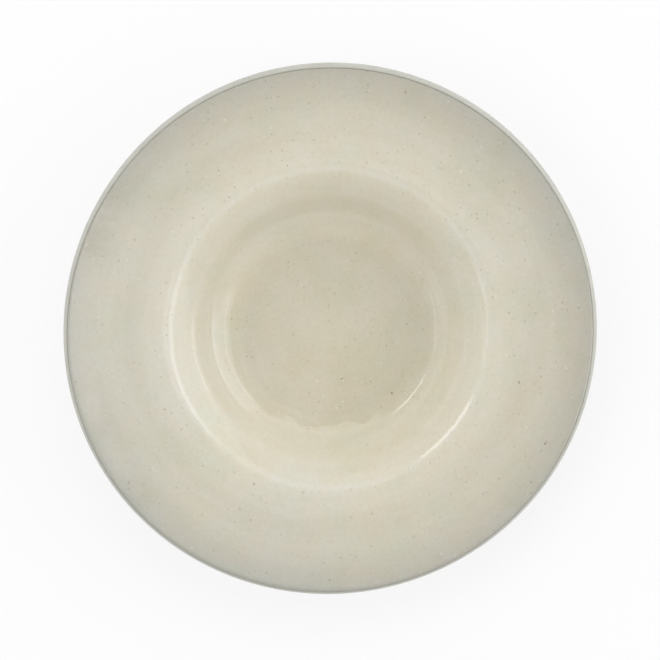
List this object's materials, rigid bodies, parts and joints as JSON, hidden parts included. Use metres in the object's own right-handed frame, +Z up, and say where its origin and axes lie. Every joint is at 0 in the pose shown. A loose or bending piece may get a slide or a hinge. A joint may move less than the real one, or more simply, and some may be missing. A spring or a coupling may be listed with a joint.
{
  "type": "pasta plate",
  "caption": "Round stoneware pasta plate with a wide, gently rising rim, a deep well and a bare foot ring, glazed in speckled cream on its face and pale grey below.",
  "frame": {"origin": "centre of the plane that the foot ring stands on", "axes": "+Z up along the plate's turning axis, out of the well; +X to the right and +Y to the top of the picture"},
  "size_m": [0.28, 0.28, 0.0392],
  "materials": {
    "stoneware": "matte bare fired clay",
    "cream_glaze": "glossy cream glaze with fine dark specks",
    "pale_glaze": "glossy pale grey glaze"
  },
  "bodies": {
    "root": {"stoneware_body": "stoneware", "face_glaze": "cream_glaze", "underside_glaze": "pale_glaze", "foot_recess_glaze": "pale_glaze"}
  },
  "joints": []
}
